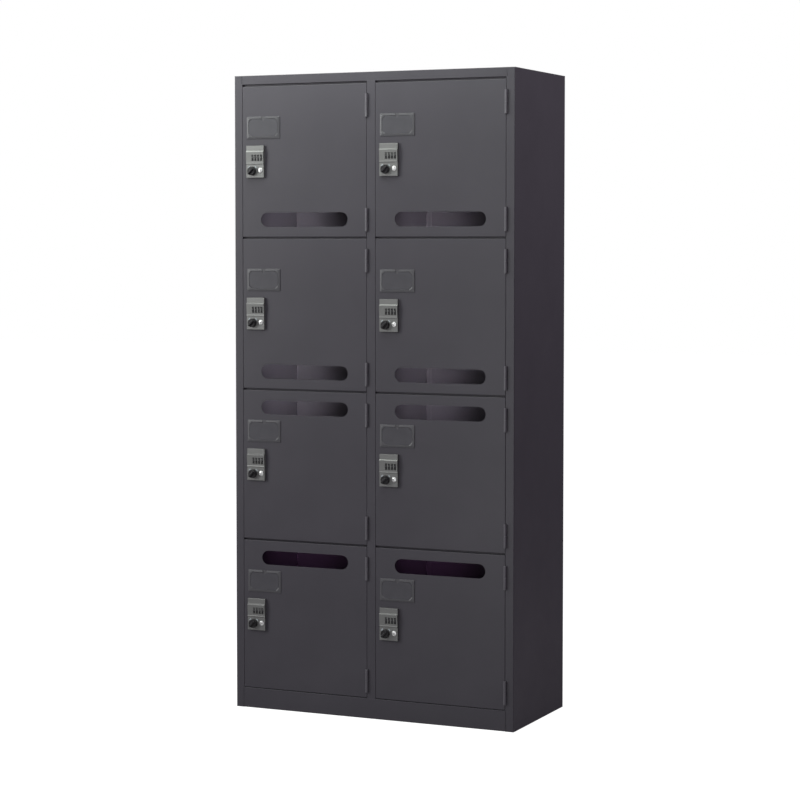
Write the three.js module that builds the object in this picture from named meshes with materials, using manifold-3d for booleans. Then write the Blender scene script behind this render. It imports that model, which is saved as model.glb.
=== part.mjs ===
// Steel parcel locker: eight compartments in two columns of four, each with a letter-slot door on
// two barrel hinges, a card holder and a combination lock. Millimetres, +Z up, front facing -Y.
// The origin is at the bottom centre of the whole object.
import * as THREE from 'three';
import { mergeVertices } from 'three/addons/utils/BufferGeometryUtils.js';
import Module from 'manifold-3d';

const wasm = await Module();
wasm.setup();

// Carcass
const WIDTH = 850;
const DEPTH = 380;
const HEIGHT = 1790;
const SHEET = 1;
const BEND = 2.5;
const BEND_STEPS = 3;
const CURVE_STEPS = 8;
const GAP = 0.3;
const STILE = 24;
const FRAME_DEPTH = 17;
const FRAME_LIP = 9;
const TOP_RAIL = 25;
const PLINTH = 57;
const BASE_RETURN = 20;
const BACK_RETURN = 18;
const REAR_FLANGE = 15;

// Doors
const COLUMNS = ['left', 'right'];
const ROWS = 4;
const DOOR_WIDTH = 386;
const DOOR_HEIGHT = 421.5;
const DOOR_DEPTH = 18;
const DOOR_TOP = 1759.5;
const ROW_PITCH = 426.5;
const SIDE_GAP = 1.5;
const DOOR_LIP = 12;

// Letter slot: near the bottom edge on the two upper rows, near the top edge on the two lower ones
const SLOT_WIDTH = 270;
const SLOT_HEIGHT = 40;
const SLOT_FROM_EDGE = 48;
const ROWS_WITH_LOW_SLOT = 2;

// Shelves
const SHELF_FRONT = 19;
const SHELF_DEPTH = 357;
const SHELF_FLANGE = 20;
const SHELF_ABOVE_GAP = 2;

// Barrel hinges
const HINGE_PROUD = 2;
const BARREL_RADIUS = 4.5;
const BARREL_HALF = 32;
const BARREL_SIDES = 12;
const KNUCKLE_GAP = 0.25;
const NOTCH_RADIUS = 5.4;
const PIN_RADIUS = 2.3;
const PIN_BORE_RADIUS = 2.6;
const PIN_LENGTH = 28;
const PIN_SIDES = 8;
const UPPER_HINGE = DOOR_HEIGHT - 61;
const LOWER_HINGE = 47;

// Card holder
const CARD_WIDTH = 104;
const CARD_HEIGHT = 62;
const CARD_LEFT = 14;
const CARD_ABOVE_CENTRE = 95.5;
const CARD_PROUD = 2.8;
const CARD_BACK = 1;
const CARD_RIM = 3;
const CARD_CHAMFER = 8;
const THUMB_NOTCH_TOP = 9;
const THUMB_NOTCH_BASE = 5;

// Combination lock
const LOCK_WIDTH = 54.5;
const LOCK_HEIGHT = 90;
const LOCK_LEFT = 15.5;
const PLATE_PROUD = 7.5;
const PLATE_CHAMFER = 1;
const HUMP_TOP = 31;
const BROW_PROUD = 10.5;
const BROW_HEIGHT = 27.5;
const CHIN_PROUD = 8.5;
const CHIN_HEIGHT = -2;
const LEDGE_PROUD = 9.3;
const LEDGE_HEIGHT = -5.5;
const HUMP_BOTTOM = -7.5;
const REAR_WIDTH = 51.5;
const REAR_HEIGHT = 82;
const REAR_DEPTH = 14;
const CUTOUT_CLEARANCE = 0.5;

// Dial wheels
const WHEEL_COUNT = 4;
const FIRST_WHEEL = 20.6;
const WHEEL_PITCH = 9;
const WHEEL_WIDTH = 5.6;
const WHEEL_RADIUS = 10.5;
const WHEEL_SIDES = 10;
const WHEEL_AXIS_HEIGHT = 11;
const WINDOW_WIDTH = 6.4;
const WINDOW_HEIGHT = 17;
const CHAMBER_RADIUS = 11.1;
const CHAMBER_PROUD = 7.6;
const CHAMBER_CLEARANCE = 0.4;
const AXLE_RADIUS = 2;
const AXLE_BORE_RADIUS = 2.25;
const AXLE_SIDES = 8;
const AXLE_START = 16;
const AXLE_END = 52;

// Latch knob, its spindle and its cam
const KNOB_X = 18.6;
const KNOB_Z = -26;
const KNOB_RADIUS = 12.5;
const KNOB_SIDES = 16;
const KNOB_SKIRT = 10;
const GRIP_PROUD = 5;
const GRIP_WIDTH = 6;
const GRIP_LENGTH = 22;
const KNOB_CLEARANCE = 0.5;
const SPINDLE_RADIUS = 4;
const SPINDLE_BORE_RADIUS = 4.3;
const SPINDLE_SIDES = 10;
const CAM_FRONT = 19;
const CAM_THICKNESS = 2.5;
const CAM_REACH = 45;
const CAM_TAIL = 8;
const CAM_WIDTH = 14;

// Key cylinder
const KEY_X = 44.5;
const KEY_Z = -24;
const KEY_RADIUS = 7;
const KEY_PROUD = 2;
const KEY_BARREL_RADIUS = 5;
const KEY_BORE_RADIUS = 5.4;
const KEY_DEPTH = 10;
const KEYWAY = { width: 1.6, height: 7, depth: 4 };

const KNOB_FRONT = PLATE_PROUD + KNOB_CLEARANCE + KNOB_SKIRT + GRIP_PROUD;
const FRONT_Y = (KNOB_FRONT - DEPTH) / 2;
const INNER_BACK = DEPTH - SHEET - GAP;
const COLUMN_X = COLUMNS.map((_, i) => STILE + SIDE_GAP + i * (DOOR_WIDTH + 2 * SIDE_GAP + STILE));

const steel = new THREE.MeshStandardMaterial({ color: 0x454247, roughness: 0.55, metalness: 0.3 });
const cardPlastic = new THREE.MeshStandardMaterial({ color: 0x3c3b41, roughness: 0.35, metalness: 0 });
const lockGrey = new THREE.MeshStandardMaterial({ color: 0x6e6c72, roughness: 0.4, metalness: 0.2 });
const dialBlack = new THREE.MeshStandardMaterial({ color: 0x1c1b1e, roughness: 0.4, metalness: 0 });
const knobBlack = new THREE.MeshStandardMaterial({ color: 0x141416, roughness: 0.35, metalness: 0 });
const chrome = new THREE.MeshStandardMaterial({ color: 0xc9c9cc, roughness: 0.2, metalness: 1 });

// ---- solids -------------------------------------------------------------------------------------

function solid(geometry) {
  const bare = geometry.clone();
  bare.deleteAttribute('normal');
  bare.deleteAttribute('uv');
  const merged = mergeVertices(bare);
  const mesh = new wasm.Mesh({
    numProp: 3,
    vertProperties: new Float32Array(merged.attributes.position.array),
    triVerts: new Uint32Array(merged.index.array),
  });
  return new wasm.Manifold(mesh);
}

function mesh(name, body, material) {
  const { vertProperties, triVerts } = body.getMesh();
  const geometry = new THREE.BufferGeometry();
  geometry.setAttribute('position', new THREE.BufferAttribute(new Float32Array(vertProperties), 3));
  geometry.setIndex(new THREE.BufferAttribute(new Uint32Array(triVerts), 1));
  geometry.computeVertexNormals();
  const part = new THREE.Mesh(geometry, material);
  part.name = name;
  return part;
}

function box([x0, x1], [y0, y1], [z0, z1]) {
  const geometry = new THREE.BoxGeometry(x1 - x0, y1 - y0, z1 - z0);
  geometry.translate((x0 + x1) / 2, (y0 + y1) / 2, (z0 + z1) / 2);
  return solid(geometry);
}

function cylinderZ(radius, [x, y], [z0, z1], sides) {
  const geometry = new THREE.CylinderGeometry(radius, radius, z1 - z0, sides);
  geometry.rotateX(Math.PI / 2);
  geometry.translate(x, y, (z0 + z1) / 2);
  return solid(geometry);
}

function cylinderY(radius, [x, z], [y0, y1], sides) {
  const geometry = new THREE.CylinderGeometry(radius, radius, y1 - y0, sides);
  geometry.translate(x, (y0 + y1) / 2, z);
  return solid(geometry);
}

function cylinderX(radius, [y, z], [x0, x1], sides) {
  const geometry = new THREE.CylinderGeometry(radius, radius, x1 - x0, sides);
  geometry.rotateZ(Math.PI / 2);
  geometry.translate((x0 + x1) / 2, y, z);
  return solid(geometry);
}

// Extrudes a shape drawn in X and Z through the depth from y0 to y1.
function extrudeY(shape, [y0, y1]) {
  const settings = { depth: y1 - y0, bevelEnabled: false, curveSegments: CURVE_STEPS };
  const geometry = new THREE.ExtrudeGeometry(shape, settings);
  geometry.rotateX(Math.PI / 2);
  geometry.translate(0, y1, 0);
  return solid(geometry);
}

// Extrudes a shape drawn in Y and Z along X.
function extrudeX(shape, [x0, x1]) {
  const geometry = new THREE.ExtrudeGeometry(shape, { depth: x1 - x0, bevelEnabled: false });
  geometry.rotateX(Math.PI / 2);
  geometry.rotateZ(Math.PI / 2);
  geometry.translate(x0, 0, 0);
  return solid(geometry);
}

// Extrudes a shape drawn in X and Y upwards.
function extrudeZ(shape, [z0, z1]) {
  const geometry = new THREE.ExtrudeGeometry(shape, { depth: z1 - z0, bevelEnabled: false });
  geometry.translate(0, 0, z0);
  return solid(geometry);
}

// The section of a folded sheet. The corners are those of its outer face, every bend is square, and
// the metal lies to the right of the walk from the first corner to the last.
function foldedSheet(corners) {
  const points = corners.map(([x, y]) => new THREE.Vector2(x, y));
  const face = [];
  const back = [];
  const rightOf = (from, to) => {
    const along = to.clone().sub(from).normalize();
    return new THREE.Vector2(along.y, -along.x);
  };
  const last = points.length - 1;
  for (let i = 0; i <= last; i += 1) {
    const corner = points[i];
    if (i === 0 || i === last) {
      const normal = i === 0 ? rightOf(corner, points[1]) : rightOf(points[last - 1], corner);
      face.push(corner);
      back.push(corner.clone().addScaledVector(normal, SHEET));
      continue;
    }
    const before = rightOf(points[i - 1], corner);
    const after = rightOf(corner, points[i + 1]);
    const side = Math.sign(before.y * after.x - before.x * after.y);
    const faceRadius = side > 0 ? BEND : BEND - SHEET;
    const backRadius = side > 0 ? BEND - SHEET : BEND;
    const centre = corner.clone().addScaledVector(before, side * faceRadius);
    centre.addScaledVector(after, side * faceRadius);
    for (let step = 0; step <= BEND_STEPS; step += 1) {
      const angle = (step / BEND_STEPS) * (Math.PI / 2);
      const spoke = before.clone().multiplyScalar(-side * Math.cos(angle));
      spoke.addScaledVector(after, -side * Math.sin(angle));
      face.push(centre.clone().addScaledVector(spoke, faceRadius));
      back.push(centre.clone().addScaledVector(spoke, backRadius));
    }
  }
  return new THREE.Shape([...face, ...back.reverse()]);
}

// ---- hinges -------------------------------------------------------------------------------------

function doorBottom(row) {
  return DOOR_TOP - DOOR_HEIGHT - row * ROW_PITCH;
}

// Adds the four doors' fixed knuckles and pins to a stile, and notches it for the doors' knuckles.
function withFixedKnuckles(stile, hingeX) {
  let result = stile;
  const axis = [hingeX, -HINGE_PROUD];
  for (let row = 0; row < ROWS; row += 1) {
    for (const height of [UPPER_HINGE, LOWER_HINGE]) {
      const middle = doorBottom(row) + height;
      const notch = [middle - KNUCKLE_GAP, middle + BARREL_HALF + 1];
      result = result.subtract(cylinderZ(NOTCH_RADIUS, axis, notch, BARREL_SIDES));
      const barrel = [middle - BARREL_HALF, middle - KNUCKLE_GAP];
      result = result.add(cylinderZ(BARREL_RADIUS, axis, barrel, BARREL_SIDES));
      const pin = [middle - 2, middle + PIN_LENGTH];
      result = result.add(cylinderZ(PIN_RADIUS, axis, pin, PIN_SIDES));
    }
  }
  return result;
}

// Adds a door's two knuckles to its panel, and notches the panel for the fixed ones below them.
function withDoorKnuckles(panel) {
  let result = panel;
  const axis = [DOOR_WIDTH + SIDE_GAP / 2, -HINGE_PROUD];
  for (const middle of [UPPER_HINGE, LOWER_HINGE]) {
    const notch = [middle - BARREL_HALF - 1, middle + KNUCKLE_GAP];
    result = result.subtract(cylinderZ(NOTCH_RADIUS, axis, notch, BARREL_SIDES));
    const barrel = [middle + KNUCKLE_GAP, middle + BARREL_HALF];
    result = result.add(cylinderZ(BARREL_RADIUS, axis, barrel, BARREL_SIDES));
    const bore = [middle - 1, middle + PIN_LENGTH + 1];
    result = result.subtract(cylinderZ(PIN_BORE_RADIUS, axis, bore, PIN_SIDES));
  }
  return result;
}

// ---- carcass ------------------------------------------------------------------------------------

function sidePanelSection(mirrored) {
  const corners = [
    [STILE - FRAME_LIP, FRAME_DEPTH],
    [STILE, FRAME_DEPTH],
    [STILE, 0],
    [0, 0],
    [0, DEPTH],
    [BACK_RETURN, DEPTH],
  ];
  if (!mirrored) return foldedSheet(corners);
  return foldedSheet(corners.map(([x, y]) => [WIDTH - x, y]).reverse());
}

function sidePanels() {
  const span = [0, HEIGHT - SHEET - GAP];
  const left = extrudeZ(sidePanelSection(false), span);
  const hingeX = WIDTH - STILE - SIDE_GAP / 2;
  const right = withFixedKnuckles(extrudeZ(sidePanelSection(true), span), hingeX);
  return [mesh('left_side_panel', left, steel), mesh('right_side_panel', right, steel)];
}

function centrePartition() {
  const left = (WIDTH - STILE) / 2;
  const right = left + STILE;
  const channel = foldedSheet([
    [right - FRAME_LIP, FRAME_DEPTH],
    [right, FRAME_DEPTH],
    [right, 0],
    [left, 0],
    [left, FRAME_DEPTH],
    [left + FRAME_LIP, FRAME_DEPTH],
  ]);
  const span = [PLINTH + GAP, HEIGHT - SHEET - GAP];
  const webLeft = (WIDTH - SHEET) / 2;
  const back = INNER_BACK - SHEET - GAP;
  const web = box([webLeft, webLeft + SHEET], [SHEET / 2, back], span);
  const flange = box([webLeft, webLeft + REAR_FLANGE], [back - SHEET, back], span);
  const railClearance = box(
    [left - 1, right + 1],
    [-1, FRAME_DEPTH + GAP],
    [HEIGHT - TOP_RAIL - GAP, HEIGHT],
  );
  const flangeClearance = box(
    [webLeft - 1, webLeft + REAR_FLANGE + 1],
    [back - BEND - GAP, DEPTH],
    [HEIGHT - REAR_FLANGE - GAP, HEIGHT],
  );
  const folded = extrudeZ(channel, span).add(web).add(flange);
  const plain = folded.subtract(railClearance).subtract(flangeClearance);
  return mesh('centre_partition', withFixedKnuckles(plain, left - SIDE_GAP / 2), steel);
}

function topPanel() {
  const back = INNER_BACK - SHEET - GAP;
  const folded = foldedSheet([
    [FRAME_DEPTH, HEIGHT - TOP_RAIL + FRAME_LIP],
    [FRAME_DEPTH, HEIGHT - TOP_RAIL],
    [0, HEIGHT - TOP_RAIL],
    [0, HEIGHT],
    [back, HEIGHT],
    [back, HEIGHT - REAR_FLANGE],
  ]);
  const cover = box([0, WIDTH], [GAP, DEPTH], [HEIGHT - SHEET, HEIGHT]);
  const below = HEIGHT - SHEET;
  let panel = extrudeX(folded, [0, WIDTH]).add(cover);
  for (const [inner, outer] of [[STILE + GAP, -1], [WIDTH - STILE - GAP, WIDTH + 1]]) {
    const ends = [Math.min(inner, outer), Math.max(inner, outer)];
    panel = panel.subtract(box(ends, [-1, DEPTH + 1], [below - TOP_RAIL, below]));
  }
  return mesh('top_panel', panel, steel);
}

function backPanel() {
  const edge = BEND + GAP;
  const sheet = box([edge, WIDTH - edge], [INNER_BACK - SHEET, INNER_BACK], [0, HEIGHT - SHEET - GAP]);
  return mesh('back_panel', sheet, steel);
}

function basePan() {
  const back = INNER_BACK - SHEET - GAP;
  const folded = foldedSheet([
    [BASE_RETURN, 0],
    [0, 0],
    [0, PLINTH],
    [back, PLINTH],
    [back, 0],
    [back - BASE_RETURN, 0],
  ]);
  const edge = SHEET + GAP;
  let pan = extrudeX(folded, [edge, WIDTH - edge]);
  for (const corner of [[0, STILE + GAP], [WIDTH - STILE - GAP, WIDTH]]) {
    pan = pan.subtract(box(corner, [-1, FRAME_DEPTH + GAP], [-1, PLINTH + 1]));
  }
  return mesh('base_pan', pan, steel);
}

// An inverted tray: a flat shelf with a flange folded down on every side.
function shelf(column, row) {
  const left = column === 0 ? SHEET + GAP : (WIDTH + SHEET) / 2 + GAP;
  const right = left + (WIDTH - 3 * SHEET) / 2 - 2 * GAP;
  const top = doorBottom(row) - (ROW_PITCH - DOOR_HEIGHT) / 2 + SHELF_ABOVE_GAP;
  const span = [SHELF_FRONT, SHELF_FRONT + SHELF_DEPTH];
  const tray = box([left, right], span, [top - SHELF_FLANGE, top]);
  const inside = box(
    [left + SHEET, right - SHEET],
    [span[0] + SHEET, span[1] - SHEET],
    [top - SHELF_FLANGE - 1, top - SHEET],
  );
  return mesh(`${COLUMNS[column]}_shelf_${row + 1}`, tray.subtract(inside), steel);
}

// ---- door parts: X from the door's left edge, Y from its face, Z from its bottom edge -------------

function slotShape(centreZ) {
  const radius = SLOT_HEIGHT / 2;
  const reach = SLOT_WIDTH / 2 - radius;
  const shape = new THREE.Shape();
  shape.absarc(DOOR_WIDTH / 2 + reach, centreZ, radius, -Math.PI / 2, Math.PI / 2, false);
  shape.absarc(DOOR_WIDTH / 2 - reach, centreZ, radius, Math.PI / 2, (3 * Math.PI) / 2, false);
  return shape;
}

function doorPanel(slotZ) {
  const outer = box([0, DOOR_WIDTH], [0, DOOR_DEPTH], [0, DOOR_HEIGHT]);
  const hollow = box(
    [SHEET, DOOR_WIDTH - SHEET],
    [SHEET, DOOR_DEPTH - SHEET],
    [SHEET, DOOR_HEIGHT - SHEET],
  );
  const mouth = box(
    [DOOR_LIP, DOOR_WIDTH - DOOR_LIP],
    [DOOR_DEPTH / 2, DOOR_DEPTH + 1],
    [DOOR_LIP, DOOR_HEIGHT - DOOR_LIP],
  );
  const slot = extrudeY(slotShape(slotZ), [-1, SHEET + 1]);
  const cutoutX = LOCK_LEFT + LOCK_WIDTH / 2;
  const halfWidth = REAR_WIDTH / 2 + CUTOUT_CLEARANCE;
  const halfHeight = REAR_HEIGHT / 2 + CUTOUT_CLEARANCE;
  const cutout = box(
    [cutoutX - halfWidth, cutoutX + halfWidth],
    [-1, SHEET + 1],
    [DOOR_HEIGHT / 2 - halfHeight, DOOR_HEIGHT / 2 + halfHeight],
  );
  return withDoorKnuckles(outer.subtract(hollow).subtract(mouth).subtract(slot).subtract(cutout));
}

function cardHolder() {
  const base = DOOR_HEIGHT / 2 + CARD_ABOVE_CENTRE - CARD_HEIGHT / 2;
  const plate = box([CARD_LEFT, CARD_LEFT + CARD_WIDTH], [-CARD_PROUD, -GAP], [base, base + CARD_HEIGHT]);
  const x0 = CARD_LEFT + CARD_RIM;
  const x1 = CARD_LEFT + CARD_WIDTH - CARD_RIM;
  const z0 = base + CARD_RIM;
  const z1 = base + CARD_HEIGHT - CARD_RIM;
  const middle = (x0 + x1) / 2;
  const window = new THREE.Shape([
    new THREE.Vector2(x0 + CARD_CHAMFER, z0),
    new THREE.Vector2(x1 - CARD_CHAMFER, z0),
    new THREE.Vector2(x1, z0 + CARD_CHAMFER),
    new THREE.Vector2(x1, z1 - CARD_CHAMFER),
    new THREE.Vector2(x1 - CARD_CHAMFER, z1),
    new THREE.Vector2(middle + THUMB_NOTCH_BASE, z1),
    new THREE.Vector2(middle + THUMB_NOTCH_TOP, z1 + CARD_RIM + 1),
    new THREE.Vector2(middle - THUMB_NOTCH_TOP, z1 + CARD_RIM + 1),
    new THREE.Vector2(middle - THUMB_NOTCH_BASE, z1),
    new THREE.Vector2(x0 + CARD_CHAMFER, z1),
    new THREE.Vector2(x0, z1 - CARD_CHAMFER),
    new THREE.Vector2(x0, z0 + CARD_CHAMFER),
  ]);
  return plate.subtract(extrudeY(window, [-CARD_PROUD - 1, -GAP - CARD_BACK]));
}

// ---- lock parts: X from the lock's left edge, Y from the door's face, Z from the lock's centre ----

function lockProfile() {
  const half = LOCK_HEIGHT / 2;
  const shape = new THREE.Shape();
  shape.moveTo(-GAP, half);
  shape.lineTo(-PLATE_PROUD + PLATE_CHAMFER, half);
  shape.lineTo(-PLATE_PROUD, half - PLATE_CHAMFER);
  shape.lineTo(-PLATE_PROUD, HUMP_TOP);
  shape.lineTo(-BROW_PROUD, BROW_HEIGHT);
  shape.lineTo(-CHIN_PROUD, CHIN_HEIGHT);
  shape.lineTo(-LEDGE_PROUD, LEDGE_HEIGHT);
  shape.lineTo(-PLATE_PROUD, HUMP_BOTTOM);
  shape.lineTo(-PLATE_PROUD, -half + PLATE_CHAMFER);
  shape.lineTo(-PLATE_PROUD + PLATE_CHAMFER, -half);
  shape.lineTo(-GAP, -half);
  return shape;
}

function wheelX(index) {
  return FIRST_WHEEL + index * WHEEL_PITCH;
}

function lockCase() {
  const inset = (LOCK_WIDTH - REAR_WIDTH) / 2;
  const rear = box(
    [inset, LOCK_WIDTH - inset],
    [-PLATE_PROUD / 2, REAR_DEPTH],
    [-REAR_HEIGHT / 2, REAR_HEIGHT / 2],
  );
  let body = extrudeX(lockProfile(), [0, LOCK_WIDTH]).add(rear);
  const axis = [0, WHEEL_AXIS_HEIGHT];
  const side = WHEEL_WIDTH / 2 + CHAMBER_CLEARANCE;
  const ends = [wheelX(0) - side, wheelX(WHEEL_COUNT - 1) + side];
  const round = cylinderX(CHAMBER_RADIUS, axis, ends, BARREL_SIDES);
  const keep = box([0, LOCK_WIDTH], [-CHAMBER_PROUD, REAR_DEPTH], [-REAR_HEIGHT / 2, REAR_HEIGHT / 2]);
  body = body.subtract(round.intersect(keep));
  const bore = [AXLE_START - GAP, AXLE_END + GAP];
  body = body.subtract(cylinderX(AXLE_BORE_RADIUS, axis, bore, AXLE_SIDES));
  for (let i = 0; i < WHEEL_COUNT; i += 1) {
    const x = wheelX(i);
    const window = box(
      [x - WINDOW_WIDTH / 2, x + WINDOW_WIDTH / 2],
      [-BROW_PROUD - 1, -CHAMBER_PROUD + 1],
      [WHEEL_AXIS_HEIGHT - WINDOW_HEIGHT / 2, WHEEL_AXIS_HEIGHT + WINDOW_HEIGHT / 2],
    );
    body = body.subtract(window);
  }
  const through = [-PLATE_PROUD - 1, REAR_DEPTH + 1];
  body = body.subtract(cylinderY(SPINDLE_BORE_RADIUS, [KNOB_X, KNOB_Z], through, SPINDLE_SIDES));
  const blind = [-PLATE_PROUD - 1, KEY_DEPTH + GAP];
  return body.subtract(cylinderY(KEY_BORE_RADIUS, [KEY_X, KEY_Z], blind, SPINDLE_SIDES));
}

function dialWheels() {
  const axis = [0, WHEEL_AXIS_HEIGHT];
  let set = cylinderX(AXLE_RADIUS, axis, [AXLE_START, AXLE_END], AXLE_SIDES);
  for (let i = 0; i < WHEEL_COUNT; i += 1) {
    const x = wheelX(i);
    const ends = [x - WHEEL_WIDTH / 2, x + WHEEL_WIDTH / 2];
    set = set.add(cylinderX(WHEEL_RADIUS, axis, ends, WHEEL_SIDES));
  }
  return set;
}

// The knob turns the spindle and the cam together. The cam hangs down when the latch is open.
function latchKnob() {
  const centre = [KNOB_X, KNOB_Z];
  const seat = -PLATE_PROUD - KNOB_CLEARANCE;
  const skirt = cylinderY(KNOB_RADIUS, centre, [seat - KNOB_SKIRT, seat], KNOB_SIDES);
  const grip = new THREE.BoxGeometry(GRIP_WIDTH, GRIP_PROUD + 1, GRIP_LENGTH);
  grip.rotateY(Math.PI / 4);
  grip.translate(KNOB_X, seat - KNOB_SKIRT - (GRIP_PROUD - 1) / 2, KNOB_Z);
  const camBack = CAM_FRONT + CAM_THICKNESS;
  const spindle = cylinderY(SPINDLE_RADIUS, centre, [seat - 1, camBack], SPINDLE_SIDES);
  const cam = box(
    [KNOB_X - CAM_WIDTH / 2, KNOB_X + CAM_WIDTH / 2],
    [CAM_FRONT, camBack],
    [KNOB_Z - CAM_REACH, KNOB_Z + CAM_TAIL],
  );
  return skirt.add(solid(grip)).add(spindle).add(cam);
}

function keyCylinder() {
  const centre = [KEY_X, KEY_Z];
  const seat = -PLATE_PROUD - GAP;
  const head = cylinderY(KEY_RADIUS, centre, [seat - KEY_PROUD, seat], KNOB_SIDES);
  const barrel = cylinderY(KEY_BARREL_RADIUS, centre, [seat - 1, KEY_DEPTH], SPINDLE_SIDES);
  const keyway = box(
    [KEY_X - KEYWAY.width / 2, KEY_X + KEYWAY.width / 2],
    [seat - KEY_PROUD - 1, seat - KEY_PROUD + KEYWAY.depth],
    [KEY_Z - KEYWAY.height / 2, KEY_Z + KEYWAY.height / 2],
  );
  return head.add(barrel).subtract(keyway);
}

// ---- assembly -----------------------------------------------------------------------------------

const locker = new THREE.Group();
locker.position.set(-WIDTH / 2, FRONT_Y, 0);
locker.add(...sidePanels(), topPanel(), backPanel(), centrePartition(), basePan());

for (let column = 0; column < COLUMNS.length; column += 1) {
  for (let row = 0; row < ROWS - 1; row += 1) {
    locker.add(shelf(column, row));
  }
}

const lowSlotPanel = doorPanel(SLOT_FROM_EDGE);
const highSlotPanel = doorPanel(DOOR_HEIGHT - SLOT_FROM_EDGE);
const holder = cardHolder();
const lockPieces = [
  ['lock_case', lockCase(), lockGrey],
  ['dial_wheels', dialWheels(), dialBlack],
  ['latch_knob', latchKnob(), knobBlack],
  ['key_cylinder', keyCylinder(), chrome],
];

for (let column = 0; column < COLUMNS.length; column += 1) {
  for (let row = 0; row < ROWS; row += 1) {
    const label = (piece) => `${COLUMNS[column]}_${piece}_${row + 1}`;
    const door = new THREE.Group();
    door.position.set(COLUMN_X[column], 0, doorBottom(row));
    const panel = row < ROWS_WITH_LOW_SLOT ? lowSlotPanel : highSlotPanel;
    door.add(mesh(label('door'), panel, steel));
    door.add(mesh(label('card_holder'), holder, cardPlastic));
    const lock = new THREE.Group();
    lock.position.set(LOCK_LEFT, 0, DOOR_HEIGHT / 2);
    for (const [piece, body, material] of lockPieces) {
      lock.add(mesh(label(piece), body, material));
    }
    door.add(lock);
    locker.add(door);
  }
}

const object = new THREE.Group();
object.add(locker);

export default object;
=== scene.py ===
"""Looks of the steel parcel locker: eight slotted doors in two columns, each with a combination lock."""

import math

import bmesh
import bpy
from mathutils import Matrix, Vector
from mathutils.geometry import tessellate_polygon


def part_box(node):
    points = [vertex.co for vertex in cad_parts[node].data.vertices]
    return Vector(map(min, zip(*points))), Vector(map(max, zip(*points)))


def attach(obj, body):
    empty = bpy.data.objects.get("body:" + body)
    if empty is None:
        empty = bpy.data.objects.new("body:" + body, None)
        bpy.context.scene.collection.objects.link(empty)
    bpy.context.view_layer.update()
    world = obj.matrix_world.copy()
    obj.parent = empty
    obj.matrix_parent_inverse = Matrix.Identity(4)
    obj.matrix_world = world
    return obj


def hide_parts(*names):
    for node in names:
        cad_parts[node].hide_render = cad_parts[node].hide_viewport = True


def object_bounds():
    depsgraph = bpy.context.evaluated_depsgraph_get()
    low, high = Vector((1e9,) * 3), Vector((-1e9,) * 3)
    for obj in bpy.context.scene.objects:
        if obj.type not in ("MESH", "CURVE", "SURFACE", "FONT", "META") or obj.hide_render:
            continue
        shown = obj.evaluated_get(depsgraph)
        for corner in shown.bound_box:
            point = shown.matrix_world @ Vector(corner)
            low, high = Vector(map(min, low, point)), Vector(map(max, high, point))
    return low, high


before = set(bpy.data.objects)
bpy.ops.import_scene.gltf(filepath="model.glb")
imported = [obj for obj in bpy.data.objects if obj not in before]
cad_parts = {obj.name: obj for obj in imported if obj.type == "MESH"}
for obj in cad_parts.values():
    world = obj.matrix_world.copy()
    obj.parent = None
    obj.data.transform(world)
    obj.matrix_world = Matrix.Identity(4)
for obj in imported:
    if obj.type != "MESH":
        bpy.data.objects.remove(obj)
cad_low, cad_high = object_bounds()

MM = 0.001
COLUMNS = ("left", "right")
ROWS = (1, 2, 3, 4)
LOW_SLOT_ROWS = (1, 2)

# Sheet metal
SHEET = 1.0 * MM
BEND = 2.5 * MM
TIGHT_BEND = 1.15 * MM
GAP = 0.3 * MM
STILE = 24 * MM
STILE_REACH = 1.0 * MM
FRAME_DEPTH = 17 * MM
FRAME_LIP = 9 * MM
TOP_RAIL = 25 * MM
PLINTH = 57 * MM
BASE_RETURN = 20 * MM
BACK_RETURN = 18 * MM
TOP_GAP_DEPTH = 6 * MM
ROW_GAP_DEPTH = 8 * MM
REAR_FLANGE = 15 * MM

# Doors
DOOR_WIDTH = 386 * MM
DOOR_HEIGHT = 421.5 * MM
DOOR_DEPTH = 18 * MM
DOOR_LIP = 12 * MM
DOOR_BEND = 1.3 * MM
DOOR_CORNER = 1.5 * MM
SIDE_GAP = 1.5 * MM
SLOT_REACH = 115 * MM
SLOT_RADIUS = 20 * MM
SLOT_FROM_EDGE = 48 * MM
SLOT_HEM = 2.5 * MM

# Hinges
HINGE_PROUD = 2 * MM
BARREL_RADIUS = 4.5 * MM
BARREL_HALF = 32 * MM
DOOR_NOTCH = 5.0 * MM
STILE_NOTCH = 5.3 * MM
PIN_RADIUS = 2.3 * MM
UPPER_HINGE = DOOR_HEIGHT - 61 * MM
LOWER_HINGE = 47 * MM

# Locks
LOCK_LEFT = 15.5 * MM
LOCK_WIDTH = 54.5 * MM
LOCK_HEIGHT = 90 * MM
PLATE_PROUD = 7.5 * MM
REAR_WIDTH = 51.5 * MM
REAR_HEIGHT = 82 * MM
REAR_DEPTH = 14 * MM
WHEELS = 4
FIRST_WHEEL = 20.6 * MM
WHEEL_PITCH = 9 * MM
WHEEL_WIDTH = 5.6 * MM
WHEEL_RADIUS = 10.5 * MM
WHEEL_AXIS = Vector((0, 0, 11 * MM))
WINDOW_HALF = 3.2 * MM
DIGITS = 10
WHEEL_FACE = (
    (-7.5, 31.0), (-7.7, 30.6), (-10.1, 28.1), (-10.4, 27.7), (-10.5, 27.0), (-10.4, 26.0),
    (-8.6, -2.0), (-8.6, -2.8), (-9.2, -5.0), (-9.3, -5.6), (-9.1, -6.1), (-7.7, -7.3), (-7.5, -7.5),
)
KNOB = Vector((18.6 * MM, -8 * MM, -26 * MM))
KNOB_RADIUS = 12.5 * MM
KNOB_BORE = 4.3 * MM
KEY = Vector((44.5 * MM, -7.8 * MM, -24 * MM))
KEY_RADIUS = 7 * MM
KEY_BORE = 5.4 * MM

# Studio
AMBIENT = 0.17

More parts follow.
